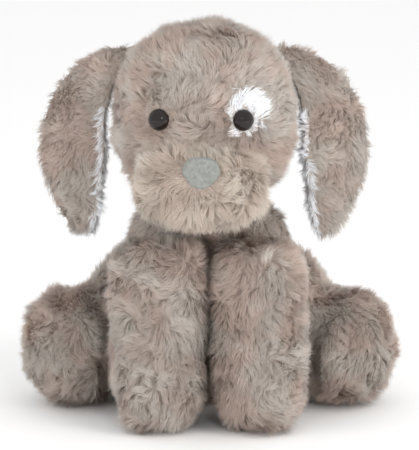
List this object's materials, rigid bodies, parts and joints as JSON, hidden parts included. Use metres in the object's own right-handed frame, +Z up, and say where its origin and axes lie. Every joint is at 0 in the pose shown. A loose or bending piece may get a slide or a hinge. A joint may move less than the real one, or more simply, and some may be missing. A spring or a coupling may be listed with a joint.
{
  "type": "plush dog",
  "caption": "Seated soft toy dog in long-pile fabric with hanging lined ears, padded velour nose, glossy eyes, straight front legs and splayed hind feet.",
  "frame": {"origin": "on the floor, in the middle of the seated dog's box", "axes": "+Z up from the seat to the crown; -Y the way the dog faces; +X the dog's left"},
  "size_m": [0.2518, 0.2112, 0.2614],
  "materials": {
    "fur_taupe": "crushed long pile",
    "fur_muzzle": "crushed long pile",
    "fur_white": "short fluffy pile",
    "nose_velour": "short smooth velour",
    "eye_black": "polished",
    "washer_white": "moulded",
    "filling": "loose polyester fibre",
    "pouch_cloth": "plain woven cotton"
  },
  "bodies": {
    "torso": {"chest": "fur_taupe", "back_left": "fur_taupe", "back_right": "fur_taupe", "seat": "fur_taupe", "torso_stuffing": "filling", "pellet_pouch": "pouch_cloth"},
    "neck": {"neck_stuffing": "filling"},
    "head": {"head_gusset": "fur_taupe", "head_side_left": "fur_taupe", "head_side_right": "fur_taupe", "eye_patch": "fur_white", "muzzle_left": "fur_muzzle", "muzzle_right": "fur_muzzle", "chin": "fur_muzzle", "nose": "nose_velour", "eye_left": "eye_black", "eye_right": "eye_black", "eye_washer_left": "washer_white", "eye_washer_right": "washer_white", "head_stuffing": "filling"},
    "ear_left": {"ear_left_outer": "fur_taupe", "ear_left_lining": "fur_white"},
    "ear_right": {"ear_right_outer": "fur_taupe", "ear_right_lining": "fur_white"},
    "front_leg_left": {"front_leg_left_outer": "fur_taupe", "front_leg_left_inner": "fur_taupe", "front_leg_left_sole": "fur_taupe", "front_leg_left_stuffing": "filling"},
    "front_leg_right": {"front_leg_right_outer": "fur_taupe", "front_leg_right_inner": "fur_taupe", "front_leg_right_sole": "fur_taupe", "front_leg_right_stuffing": "filling"},
    "hind_leg_left": {"hind_leg_left_haunch": "fur_taupe", "hind_leg_left_foot": "fur_taupe", "hind_leg_left_sole": "fur_taupe", "hind_leg_left_stuffing": "filling"},
    "hind_leg_right": {"hind_leg_right_haunch": "fur_taupe", "hind_leg_right_foot": "fur_taupe", "hind_leg_right_sole": "fur_taupe", "hind_leg_right_stuffing": "filling"},
    "tail": {"tail_left": "fur_taupe", "tail_right": "fur_taupe", "tail_stuffing": "filling"}
  },
  "joints": [
    {"name": "neck_turn", "type": "hinge", "parent": "torso", "child": "neck", "pos_m": [-0.002, -0.0077, 0.152], "axis": [0, 0, 1], "range_deg": [-22, 22], "stiffness_Nm_per_rad": 0.4},
    {"name": "head_nod", "type": "hinge", "parent": "neck", "child": "head", "pos_m": [-0.002, -0.0077, 0.152], "axis": [-1, 0, 0], "range_deg": [0, 15], "stiffness_Nm_per_rad": 1.5},
    {"name": "ear_left_flap", "type": "hinge", "parent": "head", "child": "ear_left", "pos_m": [0.047, -0.0057, 0.237], "axis": [0, -1, 0], "range_deg": [0, 60]},
    {"name": "ear_right_flap", "type": "hinge", "parent": "head", "child": "ear_right", "pos_m": [-0.053, -0.0057, 0.237], "axis": [0, 1, 0], "range_deg": [0, 60]},
    {"name": "front_leg_left_swing", "type": "hinge", "parent": "torso", "child": "front_leg_left", "pos_m": [0.0338, -0.0557, 0.095], "axis": [-1, 0, 0], "range_deg": [0, 60], "stiffness_Nm_per_rad": 0.3},
    {"name": "front_leg_right_swing", "type": "hinge", "parent": "torso", "child": "front_leg_right", "pos_m": [-0.0338, -0.0557, 0.095], "axis": [-1, 0, 0], "range_deg": [0, 60], "stiffness_Nm_per_rad": 0.3},
    {"name": "hind_leg_left_lift", "type": "hinge", "parent": "torso", "child": "hind_leg_left", "pos_m": [0.0503, 0.0283, 0.051], "axis": [-1, 0, 0], "range_deg": [0, 40], "stiffness_Nm_per_rad": 0.3},
    {"name": "hind_leg_right_lift", "type": "hinge", "parent": "torso", "child": "hind_leg_right", "pos_m": [-0.0503, 0.0283, 0.051], "axis": [-1, 0, 0], "range_deg": [0, 40], "stiffness_Nm_per_rad": 0.3},
    {"name": "tail_wag", "type": "hinge", "parent": "torso", "child": "tail", "pos_m": [0, 0.0823, 0.04], "axis": [0, 0, 1], "range_deg": [-30, 30], "stiffness_Nm_per_rad": 0.05}
  ]
}
